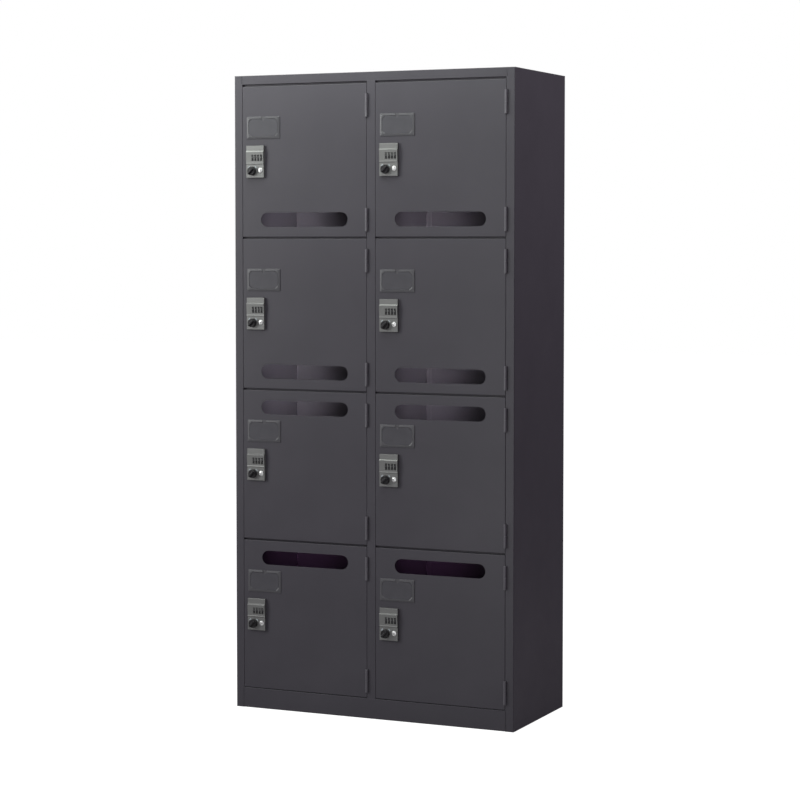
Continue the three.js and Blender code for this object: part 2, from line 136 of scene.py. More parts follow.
# Card holders
CARD_LEFT = 14 * MM
CARD_WIDTH = 104 * MM
CARD_HEIGHT = 62 * MM
CARD_ABOVE_CENTRE = 95.5 * MM

panel_low, panel_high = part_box("left_side_panel")
LEFT = panel_low.x
FRONT = panel_low.y
BACK = panel_high.y
WIDTH = cad_high.x - cad_low.x
HEIGHT = cad_high.z
DEPTH = BACK - FRONT
INSIDE_BACK = DEPTH - 2 * SHEET - 2 * GAP
CARCASS = Vector((LEFT, FRONT, 0))


# ---- materials -----------------------------------------------------------------------------------

def new_material(name):
    material = bpy.data.materials.new(name)
    material.use_nodes = True
    nodes = material.node_tree.nodes
    return material, nodes, material.node_tree.links, nodes["Principled BSDF"]


def add_noise(nodes, links, coordinates, scale, detail=3.0):
    noise = nodes.new("ShaderNodeTexNoise")
    noise.inputs["Scale"].default_value = scale
    noise.inputs["Detail"].default_value = detail
    links.new(coordinates, noise.inputs["Vector"])
    return noise


def add_ramp(nodes, links, factor, low, high, start=0.3, end=0.7):
    ramp = nodes.new("ShaderNodeValToRGB")
    ramp.color_ramp.elements[0].position = start
    ramp.color_ramp.elements[1].position = end
    ramp.color_ramp.elements[0].color = (*low, 1)
    ramp.color_ramp.elements[1].color = (*high, 1)
    links.new(factor, ramp.inputs["Fac"])
    return ramp


def add_bump(nodes, links, height, shader, strength, distance):
    bump = nodes.new("ShaderNodeBump")
    bump.inputs["Strength"].default_value = strength
    bump.inputs["Distance"].default_value = distance
    links.new(height, bump.inputs["Height"])
    links.new(bump.outputs["Normal"], shader.inputs["Normal"])
    return bump


def edge_mask(nodes, links, radius):
    """1 on sharp edges and bends, where a lighter colour is painted as a highlight, and 0 on the flats."""
    bevel = nodes.new("ShaderNodeBevel")
    bevel.samples = 4
    bevel.inputs["Radius"].default_value = radius
    geometry = nodes.new("ShaderNodeNewGeometry")
    dot = nodes.new("ShaderNodeVectorMath")
    dot.operation = "DOT_PRODUCT"
    links.new(bevel.outputs["Normal"], dot.inputs[0])
    links.new(geometry.outputs["Normal"], dot.inputs[1])
    mask = nodes.new("ShaderNodeMapRange")
    mask.inputs["From Min"].default_value = 0.98
    mask.inputs["From Max"].default_value = 0.75
    links.new(dot.outputs["Value"], mask.inputs["Value"])
    return mask


def painted(name, dark, light, edge_highlight, roughness, grain, depth, metallic=0.0, edge=0.6 * MM):
    """A sprayed finish: slow tone variation, orange-peel grain, uneven gloss and a painted highlight in a
    lighter colour on edges and bends.
    """
    material, nodes, links, shader = new_material(name)
    coordinates = nodes.new("ShaderNodeTexCoord").outputs["Object"]
    tone = add_noise(nodes, links, coordinates, 6.0)
    colour = add_ramp(nodes, links, tone.outputs["Fac"], dark, light)
    mix = nodes.new("ShaderNodeMix")
    mix.data_type = "RGBA"
    # Edges and bends take a lighter colour: a painted highlight.
    mask = edge_mask(nodes, links, edge)
    links.new(mask.outputs["Result"], mix.inputs["Factor"])
    links.new(colour.outputs["Color"], mix.inputs["A"])
    mix.inputs["B"].default_value = (*edge_highlight, 1)
    links.new(mix.outputs["Result"], shader.inputs["Base Color"])
    peel = add_noise(nodes, links, coordinates, grain, 2.0)
    smudge = add_noise(nodes, links, coordinates, 14.0, 4.0)
    gloss = nodes.new("ShaderNodeMapRange")
    gloss.inputs["To Min"].default_value = roughness - 0.05
    gloss.inputs["To Max"].default_value = roughness + 0.05
    links.new(smudge.outputs["Fac"], gloss.inputs["Value"])
    links.new(gloss.outputs["Result"], shader.inputs["Roughness"])
    shader.inputs["Metallic"].default_value = metallic
    add_bump(nodes, links, peel.outputs["Fac"], shader, 0.35, depth)
    return material


def brushed_metal(name, dark, light, roughness, stretch):
    """Plated or machined metal with fine marks, drawn out along an axis where stretch is uneven."""
    material, nodes, links, shader = new_material(name)
    coordinates = nodes.new("ShaderNodeTexCoord").outputs["Object"]
    mapping = nodes.new("ShaderNodeMapping")
    mapping.inputs["Scale"].default_value = stretch
    links.new(coordinates, mapping.inputs["Vector"])
    marks = add_noise(nodes, links, mapping.outputs["Vector"], 60.0, 5.0)
    colour = add_ramp(nodes, links, marks.outputs["Fac"], dark, light)
    links.new(colour.outputs["Color"], shader.inputs["Base Color"])
    gloss = nodes.new("ShaderNodeMapRange")
    gloss.inputs["To Min"].default_value = roughness - 0.06
    gloss.inputs["To Max"].default_value = roughness + 0.08
    links.new(marks.outputs["Fac"], gloss.inputs["Value"])
    links.new(gloss.outputs["Result"], shader.inputs["Roughness"])
    shader.inputs["Metallic"].default_value = 1.0
    add_bump(nodes, links, marks.outputs["Fac"], shader, 0.15, 0.02 * MM)
    return material


def clear_plastic():
    material, nodes, links, shader = new_material("clear_plastic")
    coordinates = nodes.new("ShaderNodeTexCoord").outputs["Object"]
    haze = add_noise(nodes, links, coordinates, 35.0, 4.0)
    # The window's colour, lighter than the door behind it, is a painted sheen.
    colour = add_ramp(nodes, links, haze.outputs["Fac"], (0.086, 0.083, 0.095), (0.098, 0.095, 0.109))
    links.new(colour.outputs["Color"], shader.inputs["Base Color"])
    gloss = nodes.new("ShaderNodeMapRange")
    gloss.inputs["To Min"].default_value = 0.34
    gloss.inputs["To Max"].default_value = 0.42
    links.new(haze.outputs["Fac"], gloss.inputs["Value"])
    links.new(gloss.outputs["Result"], shader.inputs["Roughness"])
    shader.inputs["Alpha"].default_value = 0.8
    add_bump(nodes, links, haze.outputs["Fac"], shader, 0.1, 0.05 * MM)
    return material


# The third colour of each finish is its painted highlight on edges and bends.
steel = painted(
    "powder_coat", (0.056, 0.0515, 0.0635), (0.063, 0.058, 0.071), (0.160, 0.152, 0.172),
    roughness=0.42, grain=900, depth=0.04 * MM, edge=1.1 * MM,
)
# The knuckles wear the cabinet's powder coat; their lighter colour is a painted highlight on the barrels.
hinge_highlight_paint = painted(
    "hinge_highlight_paint", (0.104, 0.098, 0.113), (0.116, 0.109, 0.126), (0.18, 0.17, 0.19),
    roughness=0.42, grain=900, depth=0.03 * MM, edge=0.8 * MM,
)
# The card holder's frame is lighter than the door's paint as a painted sheen.
holder_sheen_plastic = painted(
    "card_holder_plastic", (0.082, 0.080, 0.088), (0.090, 0.088, 0.097), (0.20, 0.20, 0.21),
    roughness=0.40, grain=1500, depth=0.03 * MM, edge=0.4 * MM,
)
case_grey = painted(
    "lock_case", (0.225, 0.226, 0.222), (0.250, 0.251, 0.246), (0.45, 0.45, 0.44),
    roughness=0.40, grain=1800, depth=0.03 * MM, metallic=0.55, edge=0.4 * MM,
)
black_plastic = painted(
    "black_plastic", (0.012, 0.011, 0.013), (0.017, 0.016, 0.018), (0.045, 0.045, 0.05),
    roughness=0.33, grain=2200, depth=0.03 * MM, edge=0.3 * MM,
)
white_ink = painted(
    "white_ink", (0.42, 0.47, 0.50), (0.48, 0.53, 0.56), (0.55, 0.58, 0.60),
    roughness=0.5, grain=2500, depth=0.01 * MM, edge=0.05 * MM,
)
digit_ink = painted(
    "digit_ink", (0.16, 0.16, 0.17), (0.20, 0.20, 0.21), (0.22, 0.22, 0.23),
    roughness=0.5, grain=2500, depth=0.01 * MM, edge=0.05 * MM,
)
chrome = brushed_metal("bright_plate", (0.86, 0.86, 0.86), (0.93, 0.93, 0.92), 0.36, (1, 1, 1))
zinc = brushed_metal("zinc_plate", (0.36, 0.36, 0.34), (0.50, 0.50, 0.48), 0.42, (1, 1, 12))
window_sheen_plastic = clear_plastic()


# ---- mesh building -------------------------------------------------------------------------------

def to_mesh(name, shape, material, smooth_angle=40):
    """Turns a closed bmesh into mesh data with its faces outwards and its curves smooth."""
    bmesh.ops.recalc_face_normals(shape, faces=shape.faces)
    data = bpy.data.meshes.new(name)
    shape.to_mesh(data)
    shape.free()
    data.materials.append(material)
    data.shade_smooth()
    data.set_sharp_from_angle(angle=math.radians(smooth_angle))
    return data


def put(name, data, body, place=Matrix.Identity(4), stands_for=None):
    """Places mesh data as a named piece that rides on a body."""
    piece = bpy.data.objects.new(name, data)
    bpy.context.scene.collection.objects.link(piece)
    piece.matrix_world = place
    normals = piece.modifiers.new("flat_faces_stay_flat", "WEIGHTED_NORMAL")
    normals.keep_sharp = True
    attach(piece, body)
    if stands_for:
        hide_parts(stands_for)
    return piece


def put_sheet(name, shape, stands_for=None):
    """Places a sheet of the carcass, drawn from the cabinet's lower front left corner."""
    put(name, to_mesh(name, shape, steel), "carcass",
        Matrix.Translation(CARCASS), stands_for)


def add_ring(shape, points):
    return [shape.verts.new(point) for point in points]


def join_rings(shape, rings, closed=False):
    """Fills the strips between rings of equally many points."""
    pairs = list(zip(rings, rings[1:]))
    if closed:
        pairs.append((rings[-1], rings[0]))
    for first, second in pairs:
        count = len(first)
        for i in range(count):
            j = (i + 1) % count
            shape.faces.new((first[i], first[j], second[j], second[i]))


def fill(shape, outer, holes=()):
    """Fills a flat outline of vertices, leaving the holes open."""
    loops = [outer, *holes]
    flat = [vert for loop in loops for vert in loop]
    for triangle in tessellate_polygon([[vert.co for vert in loop] for loop in loops]):
        shape.faces.new([flat[i] for i in triangle])


def rounded_rectangle(low, high, radius, steps=3):
    centres = (
        (high[0] - radius, low[1] + radius, -90),
        (high[0] - radius, high[1] - radius, 0),
        (low[0] + radius, high[1] - radius, 90),
        (low[0] + radius, low[1] + radius, 180),
    )
    points = []
    for u, v, start in centres:
        for step in range(steps + 1):
            angle = math.radians(start + 90 * step / steps)
            points.append((u + radius * math.cos(angle), v + radius * math.sin(angle)))
    return points


def stadium(centre, reach, radius, steps=14):
    points = []
    for side, start in ((1, -90), (-1, 90)):
        for step in range(steps + 1):
            angle = math.radians(start + 180 * step / steps)
            points.append((centre[0] + side * reach + radius * math.cos(angle),
                           centre[1] + radius * math.sin(angle)))
    return points


def front_ring(shape, points, y):
    """A ring drawn in X and Z at one depth."""
    return add_ring(shape, [(u, y, v) for u, v in points])


def lathe_y(shape, profile, centre=(0, 0), segments=32, wobble=None):
    """Turns a profile of (radius, y) about Y. A radius of 0 closes the end."""
    rings = []
    for radius, y in profile:
        if radius == 0:
            rings.append([shape.verts.new((centre[0], y, centre[1]))])
            continue
        ring = []
        for i in range(segments):
            angle = 2 * math.pi * i / segments
            reach = radius * (wobble(angle, y) if wobble else 1)
            ring.append(shape.verts.new((centre[0] + reach * math.cos(angle), y,
                                         centre[1] + reach * math.sin(angle))))
        rings.append(ring)
    for first, second in zip(rings, rings[1:]):
        if len(first) == 1 and len(second) == 1:
            continue
        if len(first) == 1 or len(second) == 1:
            tip, ring = (first[0], second) if len(first) == 1 else (second[0], first)
            for i in range(segments):
                shape.faces.new((tip, ring[i], ring[(i + 1) % segments]))
        else:
            join_rings(shape, [first, second])
    return rings


def turned(profile, axis="Y", centre=(0, 0), segments=32, wobble=None):
    """A closed turned body about a line parallel to X, Y or Z."""
    shape = bmesh.new()
    lathe_y(shape, profile, centre, segments, wobble)
    if axis == "Z":
        bmesh.ops.rotate(shape, verts=shape.verts, matrix=Matrix.Rotation(math.radians(90), 3, "X"))
    if axis == "X":
        bmesh.ops.rotate(shape, verts=shape.verts, matrix=Matrix.Rotation(math.radians(-90), 3, "Z"))
    return shape


def rounded_box(low, high, bevel, segments=3):
    shape = bmesh.new()
    bmesh.ops.create_cube(shape, size=1)
    size = [b - a for a, b in zip(low, high)]
    middle = [(a + b) / 2 for a, b in zip(low, high)]
    bmesh.ops.scale(shape, vec=size, verts=shape.verts)
    bmesh.ops.translate(shape, vec=middle, verts=shape.verts)
    bmesh.ops.bevel(shape, geom=shape.edges[:], offset=bevel, segments=segments, profile=0.5,
                    affect="EDGES", clamp_overlap=True)
    return shape


def merged(*shapes):
    """Puts several closed bodies into one bmesh."""
    whole = bmesh.new()
    for shape in shapes:
        data = bpy.data.meshes.new("part")
        shape.to_mesh(data)
        shape.free()
        whole.from_mesh(data)
        bpy.data.meshes.remove(data)
    return whole


def cut(shape, *cutters):
    """Cuts closed bodies out of another one."""
    objects = []
    for body in (shape, *cutters):
        bmesh.ops.recalc_face_normals(body, faces=body.faces)
        data = bpy.data.meshes.new("cut")
        body.to_mesh(data)
        body.free()
        thing = bpy.data.objects.new("cut", data)
        bpy.context.scene.collection.objects.link(thing)
        objects.append(thing)
    blank, *tools = objects
    for tool in tools:
        boolean = blank.modifiers.new("cut", "BOOLEAN")
        boolean.operation = "DIFFERENCE"
        boolean.solver = "EXACT"
        boolean.object = tool
    graph = bpy.context.evaluated_depsgraph_get()
    result = bmesh.new()
    result.from_mesh(blank.evaluated_get(graph).to_mesh())
    for thing in objects:
        data = thing.data
        bpy.data.objects.remove(thing)
        bpy.data.meshes.remove(data)
    return result


def folded_section(corners, steps=6):
    """The outline of a folded sheet. The corners are its outer face's, some with a bend radius of their
    own; the metal is on the right."""
    points = [Vector(corner[:2]) for corner in corners]
    bends = [corner[2] if len(corner) > 2 else BEND for corner in corners]
    face, back = [], []

    def right_of(start, end):
        along = (end - start).normalized()
        return Vector((along.y, -along.x))

    for i, corner in enumerate(points):
        if i in (0, len(points) - 1):
            normal = right_of(corner, points[1]) if i == 0 else right_of(points[-2], corner)
            face.append(corner)
            back.append(corner + normal * SHEET)
            continue
        before = right_of(points[i - 1], corner)
        after = right_of(corner, points[i + 1])
        side = 1 if before.y * after.x - before.x * after.y > 0 else -1
        outer = bends[i] if side > 0 else bends[i] - SHEET
        inner = bends[i] - SHEET if side > 0 else bends[i]
        centre = corner + (before + after) * side * outer
        for step in range(steps + 1):
            angle = math.radians(90 * step / steps)
            spoke = (before * math.cos(angle) + after * math.sin(angle)) * -side
            face.append(centre + spoke * outer)
            back.append(centre + spoke * inner)
    return face + back[::-1]


def extruded(outline, span, place):
    """A body of one section, where place turns (u, v, along) into a point."""
    shape = bmesh.new()
    rings = [add_ring(shape, [place(point[0], point[1], along) for point in outline]) for along in span]
    join_rings(shape, rings)
    for ring in rings:
        fill(shape, ring)
    return shape


def along_z(u, v, along):
    return (u, v, along)


def along_x(u, v, along):
    return (along, u, v)


def box_shape(low, high):
    shape = bmesh.new()
    bmesh.ops.create_cube(shape, size=1)
    bmesh.ops.scale(shape, vec=[b - a for a, b in zip(low, high)], verts=shape.verts)
    bmesh.ops.translate(shape, vec=[(a + b) / 2 for a, b in zip(low, high)], verts=shape.verts)
    return shape


def folded_pan(width, height, depth, lip, holes=()):
    """A sheet folded back on all four sides, with a lip round the open back. Each hole is a pair: its
    ring of points, as a function of how far it is offset outwards, and how deep its edge is hemmed."""
    shape = bmesh.new()

    def ring(inset, y):
        corner = max(DOOR_CORNER - inset, 0.25 * MM)
        outline = rounded_rectangle((inset, inset), (width - inset, height - inset), corner)
        return front_ring(shape, outline, y)

    rings = []
    for step in range(5):
        angle = math.radians(22.5 * step)
        rings.append(ring(DOOR_BEND * (1 - math.sin(angle)), DOOR_BEND * (1 - math.cos(angle))))
    for step in range(5):
        angle = math.radians(22.5 * step)
        rings.append(ring(DOOR_BEND * (1 - math.cos(angle)), depth - DOOR_BEND * (1 - math.sin(angle))))
    inner_bend = DOOR_BEND - SHEET
    edge = 0.2 * MM
    rings.append(ring(lip - edge, depth))
    rings.append(ring(lip, depth - edge))
    rings.append(ring(lip, depth - SHEET + edge))
    rings.append(ring(lip - edge, depth - SHEET))
    rings.append(ring(SHEET + inner_bend, depth - SHEET))
    rings.append(ring(SHEET, depth - SHEET - inner_bend))
    rings.append(ring(SHEET, SHEET + inner_bend))
    rings.append(ring(SHEET + inner_bend, SHEET))
    join_rings(shape, rings)

    fronts, backs = [], []
    for outline, hem in holes:
        walls = [front_ring(shape, outline(0.5 * MM), 0)]
        walls.append(front_ring(shape, outline(0.15 * MM), 0.15 * MM))
        walls.append(front_ring(shape, outline(0), 0.5 * MM))
        walls.append(front_ring(shape, outline(0), hem - edge))
        walls.append(front_ring(shape, outline(edge), hem))
        if hem > SHEET:
            walls.append(front_ring(shape, outline(SHEET - edge), hem))
            walls.append(front_ring(shape, outline(SHEET), hem - edge))
            walls.append(front_ring(shape, outline(SHEET), SHEET))
        join_rings(shape, walls)
        fronts.append(walls[0])
        backs.append(walls[-1])
    fill(shape, rings[0], fronts)
    fill(shape, rings[-1], backs)
    return shape


# ---- carcass -------------------------------------------------------------------------------------

def hinge_heights():
    """The middle of every hinge of one column, from the floor."""
    heights = []
    for row in ROWS:
        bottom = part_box(f"left_door_{row}")[0].z
        heights += [bottom + UPPER_HINGE, bottom + LOWER_HINGE]
    return heights


def hinge_x(column):
    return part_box(f"{column}_door_1")[0].x + DOOR_WIDTH + SIDE_GAP / 2 - LEFT


def knuckle_notches(x):
    """Room in a stile for the doors' knuckles."""
    cutters = []
    for middle in hinge_heights():
        profile = [(0, 0), (STILE_NOTCH, 0), (STILE_NOTCH, BARREL_HALF + MM), (0, BARREL_HALF + MM)]
        cutter = turned(profile, "Z")
        bmesh.ops.translate(cutter, vec=(x, -HINGE_PROUD, middle), verts=cutter.verts)
        cutters.append(cutter)
    return cutters


def side_panels():
    edge = STILE + STILE_REACH
    corners = [
        (edge - FRAME_LIP, FRAME_DEPTH), (edge, FRAME_DEPTH), (edge, 0, TIGHT_BEND),
        (0, 0), (0, DEPTH), (BACK_RETURN, DEPTH),
    ]
    span = (0, HEIGHT - SHEET)
    left = extruded(folded_section(corners), span, along_z)
    put_sheet("left_side_sheet", left, "left_side_panel")
    mirrored = [(WIDTH - x, *rest) for x, *rest in reversed(corners)]
    right = cut(extruded(folded_section(mirrored), span, along_z), *knuckle_notches(hinge_x("right")))
    put_sheet("right_side_sheet", right, "right_side_panel")


def centre_partition():
    left = (WIDTH - STILE) / 2 - STILE_REACH
    right = (WIDTH + STILE) / 2 + STILE_REACH
    corners = [
        (right - FRAME_LIP, FRAME_DEPTH), (right, FRAME_DEPTH), (right, 0, TIGHT_BEND),
        (left, 0, TIGHT_BEND), (left, FRAME_DEPTH), (left + FRAME_LIP, FRAME_DEPTH),
    ]
    span = (PLINTH - TIGHT_BEND, HEIGHT - TOP_RAIL + TIGHT_BEND)
    stile = cut(extruded(folded_section(corners), span, along_z), *knuckle_notches(hinge_x("left")))
    put_sheet("centre_stile", stile, "centre_partition")
    web_left = (WIDTH - SHEET) / 2
    web = [(web_left, SHEET + GAP), (web_left, INSIDE_BACK), (web_left + REAR_FLANGE, INSIDE_BACK)]
    notch = box_shape((web_left - STILE, -MM, HEIGHT - TOP_RAIL - GAP),
                      (web_left + STILE, FRAME_DEPTH + GAP, HEIGHT))
    sheet = cut(extruded(folded_section(web), (PLINTH + GAP, HEIGHT - SHEET - REAR_FLANGE), along_z), notch)
    put_sheet("centre_web", sheet)


def top_and_base():
    cover = rounded_box((0, 0, HEIGHT - SHEET), (WIDTH, DEPTH, HEIGHT), 0.45 * MM)
    put_sheet("top_cover", cover, "top_panel")
    between = (STILE - TIGHT_BEND, WIDTH - STILE + TIGHT_BEND)
    rail = folded_section([
        (FRAME_DEPTH, HEIGHT - TOP_RAIL + FRAME_LIP), (FRAME_DEPTH, HEIGHT - TOP_RAIL),
        (0, HEIGHT - TOP_RAIL, TIGHT_BEND), (0, HEIGHT - SHEET),
    ])
    put_sheet("top_rail", extruded(rail, between, along_x))
    row_gap = HEIGHT - TOP_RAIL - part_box("left_door_1")[1].z
    for i, z in enumerate([HEIGHT - TOP_RAIL, *row_seams()]):
        front = ROW_GAP_DEPTH if i else TOP_GAP_DEPTH
        lath = rounded_box((STILE, front, z - row_gap + 0.8 * MM),
                           (WIDTH - STILE, FRAME_DEPTH, z - 0.1 * MM), 0.4 * MM)
        put_sheet(f"gap_lath_{i + 1}", lath)
    plinth = folded_section([(BASE_RETURN, 0), (0, 0), (0, PLINTH, TIGHT_BEND), (FRAME_DEPTH, PLINTH)])
    put_sheet("plinth_front", extruded(plinth, between, along_x), "base_pan")
    floor = folded_section([
        (FRAME_DEPTH + GAP, PLINTH), (INSIDE_BACK, PLINTH), (INSIDE_BACK, 0), (INSIDE_BACK - BASE_RETURN, 0),
    ])
    inside = (SHEET + GAP, WIDTH - SHEET - GAP)
    put_sheet("base_floor", extruded(floor, inside, along_x))


def row_seams():
    """The top of the gap under each door but the lowest."""
    return [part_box(f"left_door_{row}")[0].z for row in ROWS[:-1]]


def back_sheet():
    low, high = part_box("back_panel")
    sheet = rounded_box(low, high, 0.3 * MM)
    put("back_sheet", to_mesh("back_sheet", sheet, steel), "carcass",
        stands_for="back_panel")


def shelves():
    low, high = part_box("left_shelf_1")
    size = high - low
    data = to_mesh("shelf_tray", folded_pan(size.x, size.y, size.z, 3 * MM), steel)
    face_up = Matrix(((1, 0, 0, 0), (0, 0, 1, 0), (0, -1, 0, 0), (0, 0, 0, 1)))
    for column in COLUMNS:
        for row in ROWS[:-1]:
            low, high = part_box(f"{column}_shelf_{row}")
            place = Matrix.Translation((low.x, low.y, high.z)) @ face_up
            put(f"{column}_shelf_tray_{row}", data, "carcass", place,
                f"{column}_shelf_{row}")


def fixed_knuckles():
    """The stile's half of each hinge: a rounded barrel with its pin."""
    edge = 0.7 * MM
    half = BARREL_HALF
    barrel = [(0, -half), (BARREL_RADIUS - edge, -half), (BARREL_RADIUS, edge - half),
              (BARREL_RADIUS, -edge), (BARREL_RADIUS - edge, 0), (PIN_RADIUS, 0),
              (PIN_RADIUS, 27.4 * MM), (PIN_RADIUS - 0.6 * MM, 28 * MM), (0, 28 * MM)]
    data = to_mesh("fixed_knuckle", turned(barrel, "Z"), hinge_highlight_paint)
    for column in COLUMNS:
        for i, middle in enumerate(hinge_heights()):
            place = Matrix.Translation(CARCASS + Vector((hinge_x(column), -HINGE_PROUD, middle)))
            put(f"{column}_fixed_knuckle_{i + 1}", data, "carcass", place)


# ---- door parts ----------------------------------------------------------------------------------

def slot_outline(centre_z):
    def outline(offset):
        return stadium((DOOR_WIDTH / 2, centre_z), SLOT_REACH, SLOT_RADIUS + offset)
    return outline


def lock_cutout(offset):
    centre = (LOCK_LEFT + LOCK_WIDTH / 2, DOOR_HEIGHT / 2)
    half = (REAR_WIDTH / 2 + 0.5 * MM + offset, REAR_HEIGHT / 2 + 0.5 * MM + offset)
    return rounded_rectangle((centre[0] - half[0], centre[1] - half[1]),
                             (centre[0] + half[0], centre[1] + half[1]), 1 * MM)


def door_mesh(name, slot_z):
    holes = [(slot_outline(slot_z), SLOT_HEM), (lock_cutout, SHEET)]
    pan = folded_pan(DOOR_WIDTH, DOOR_HEIGHT, DOOR_DEPTH, DOOR_LIP, holes)
    notches = []
    for middle in (UPPER_HINGE, LOWER_HINGE):
        profile = [(0, 0), (DOOR_NOTCH, 0), (DOOR_NOTCH, BARREL_HALF + MM), (0, BARREL_HALF + MM)]
        notch = turned([(radius, -z) for radius, z in profile], "Z")
        bmesh.ops.translate(notch, vec=(DOOR_WIDTH + SIDE_GAP / 2, -HINGE_PROUD, middle), verts=notch.verts)
        notches.append(notch)
    return to_mesh(name, cut(pan, *notches), steel)


def door_knuckles():
    """The door's half of its two hinges: sleeves that drop over the pins."""
    edge = 0.7 * MM
    bore = PIN_RADIUS + 0.3 * MM
    sleeve = [(0, 29 * MM), (bore, 29 * MM), (bore, 0.25 * MM), (BARREL_RADIUS - edge, 0.25 * MM),
              (BARREL_RADIUS, edge), (BARREL_RADIUS, BARREL_HALF - edge),
              (BARREL_RADIUS - edge, BARREL_HALF), (0, BARREL_HALF)]
    sleeves = []
    for middle in (UPPER_HINGE, LOWER_HINGE):
        body = turned(sleeve, "Z")
        bmesh.ops.translate(body, vec=(DOOR_WIDTH + SIDE_GAP / 2, -HINGE_PROUD, middle), verts=body.verts)
        sleeves.append(body)
    return to_mesh("door_knuckles", merged(*sleeves), hinge_highlight_paint)


def card_outline(inset, chamfer):
    """The card holder's frame lines: a rectangle with cut corners, from its lower left corner."""
    x0, z0 = inset, inset
    x1, z1 = CARD_WIDTH - inset, CARD_HEIGHT - inset
    return [(x0 + chamfer, z0), (x1 - chamfer, z0), (x1, z0 + chamfer), (x1, z1 - chamfer),
            (x1 - chamfer, z1), (x0 + chamfer, z1), (x0, z1 - chamfer), (x0, z0 + chamfer)]


def card_frame():
    """A low bevelled frame with cut inner corners and a V-shaped thumb notch in its top edge."""
    shape = bmesh.new()
    rings = []
    for inset, chamfer, y in (
        (0, 1.2, -0.3), (0, 1.2, -1.2), (0.5, 1.4, -1.7), (4.6, 4.0, -2.6), (5.2, 5.0, -2.8),
        (5.9, 7.2, -2.8), (6.9, 9.8, -1.5),
    ):
        rings.append(front_ring(shape, card_outline(inset * MM, chamfer * MM), y * MM))
    join_rings(shape, rings)
    fill(shape, rings[0])
    fill(shape, rings[-1])
    middle = CARD_WIDTH / 2
    notch = [(middle - 8 * MM, CARD_HEIGHT + MM), (middle - 3 * MM, CARD_HEIGHT - 9 * MM),
             (middle + 3 * MM, CARD_HEIGHT - 9 * MM), (middle + 8 * MM, CARD_HEIGHT + MM)]
    cutter = bmesh.new()
    sides = [front_ring(cutter, notch, -4 * MM), front_ring(cutter, notch, -1.0 * MM)]
    join_rings(cutter, sides)
    for side in sides:
        fill(cutter, side)
    return to_mesh("card_frame", cut(shape, cutter), holder_sheen_plastic, 20)


def card_window():
    """The clear sheet in front of the card, cut away under the thumb notch."""
    shape = bmesh.new()
    inset, chamfer = 7.0 * MM, 9.9 * MM
    outline = card_outline(inset, chamfer)
    middle = CARD_WIDTH / 2
    top = CARD_HEIGHT - inset
    outline[5:5] = [(middle + 5.5 * MM, top), (middle, top - 7 * MM), (middle - 5.5 * MM, top)]
    rings = [front_ring(shape, outline, -1.9 * MM), front_ring(shape, outline, -2.3 * MM)]
    join_rings(shape, rings)
    for ring in rings:
        fill(shape, ring)
    return to_mesh("card_window", shape, window_sheen_plastic)


# ---- lock parts ----------------------------------------------------------------------------------

def lock_profile():
    """The case seen from its side: a flat head, a brow, the wheel face below it and a foot."""
    half = LOCK_HEIGHT / 2
    edge = 1.2 * MM
    points = [(-GAP, half), (-PLATE_PROUD + edge, half)]
    for step in range(1, 4):
        angle = math.radians(30 * step)
        points.append((-PLATE_PROUD + edge - edge * math.sin(angle), half - edge + edge * math.cos(angle)))
    for y, z in WHEEL_FACE:
        points.append((y * MM, z * MM))
    for step in range(3):
        angle = math.radians(90 - 30 * step)
        points.append((-PLATE_PROUD + edge - edge * math.sin(angle), -half + edge - edge * math.cos(angle)))
    points += [(-PLATE_PROUD + edge, -half), (-GAP, -half)]
    return points


def wheel_x(index):
    return FIRST_WHEEL + index * WHEEL_PITCH


def wheel_chamber():
    """The room inside the lock that the wheels turn in."""
    reach = WHEEL_RADIUS + 0.6 * MM
    ends = (wheel_x(0) - WINDOW_HALF, wheel_x(WHEELS - 1) + WINDOW_HALF)
    chamber = turned([(0, ends[0]), (reach, ends[0]), (reach, ends[1]), (0, ends[1])], "X", (0, 0), 64)
    bmesh.ops.translate(chamber, vec=WHEEL_AXIS, verts=chamber.verts)
    return cut(chamber, box_shape((0, -40 * MM, -40 * MM), (LOCK_WIDTH, -7.6 * MM, 40 * MM)))


def lock_body():
    shape = extruded(lock_profile(), (0, LOCK_WIDTH), along_x)
    ends = [edge for edge in shape.edges
            if abs(edge.verts[0].co.x - edge.verts[1].co.x) < 1e-6
            and min(abs(edge.verts[0].co.x), abs(edge.verts[0].co.x - LOCK_WIDTH)) < 1e-6
            and edge.is_manifold and edge.calc_face_angle(0) > 0.5]
    bmesh.ops.bevel(shape, geom=ends, offset=0.9 * MM, segments=3, profile=0.5, affect="EDGES",
                    clamp_overlap=True)
    cutters = []
    for i in range(WHEELS):
        x = wheel_x(i)
        cutters.append(rounded_box((x - WINDOW_HALF, -20 * MM, WHEEL_AXIS.z - 8.7 * MM),
                                   (x + WINDOW_HALF, -6 * MM, WHEEL_AXIS.z + 8.7 * MM), 0.8 * MM))
    cutters.append(wheel_chamber())
    for middle, radius in ((KNOB, KNOB_BORE), (KEY, KEY_BORE)):
        cutters.append(turned([(0, -20 * MM), (radius, -20 * MM), (radius, MM), (0, MM)], "Y",
                              (middle.x, middle.z), 32))
    return to_mesh("lock_body", cut(shape, *cutters), case_grey, 30)


def lock_back():
    """The housing of the lock inside the door."""
    inset = (LOCK_WIDTH - REAR_WIDTH) / 2
    low = (inset, SHEET + GAP, -REAR_HEIGHT / 2)
    high = (LOCK_WIDTH - inset, REAR_DEPTH, REAR_HEIGHT / 2)
    housing = rounded_box(low, high, 1.2 * MM)
    cutters = [wheel_chamber()]
    for middle, radius, depth in ((KNOB, KNOB_BORE, 20 * MM), (KEY, KEY_BORE, 10.3 * MM)):
        cutters.append(turned([(0, 0), (radius, 0), (radius, depth), (0, depth)], "Y",
                              (middle.x, middle.z), 32))
    return to_mesh("lock_back", cut(housing, *cutters), case_grey, 30)


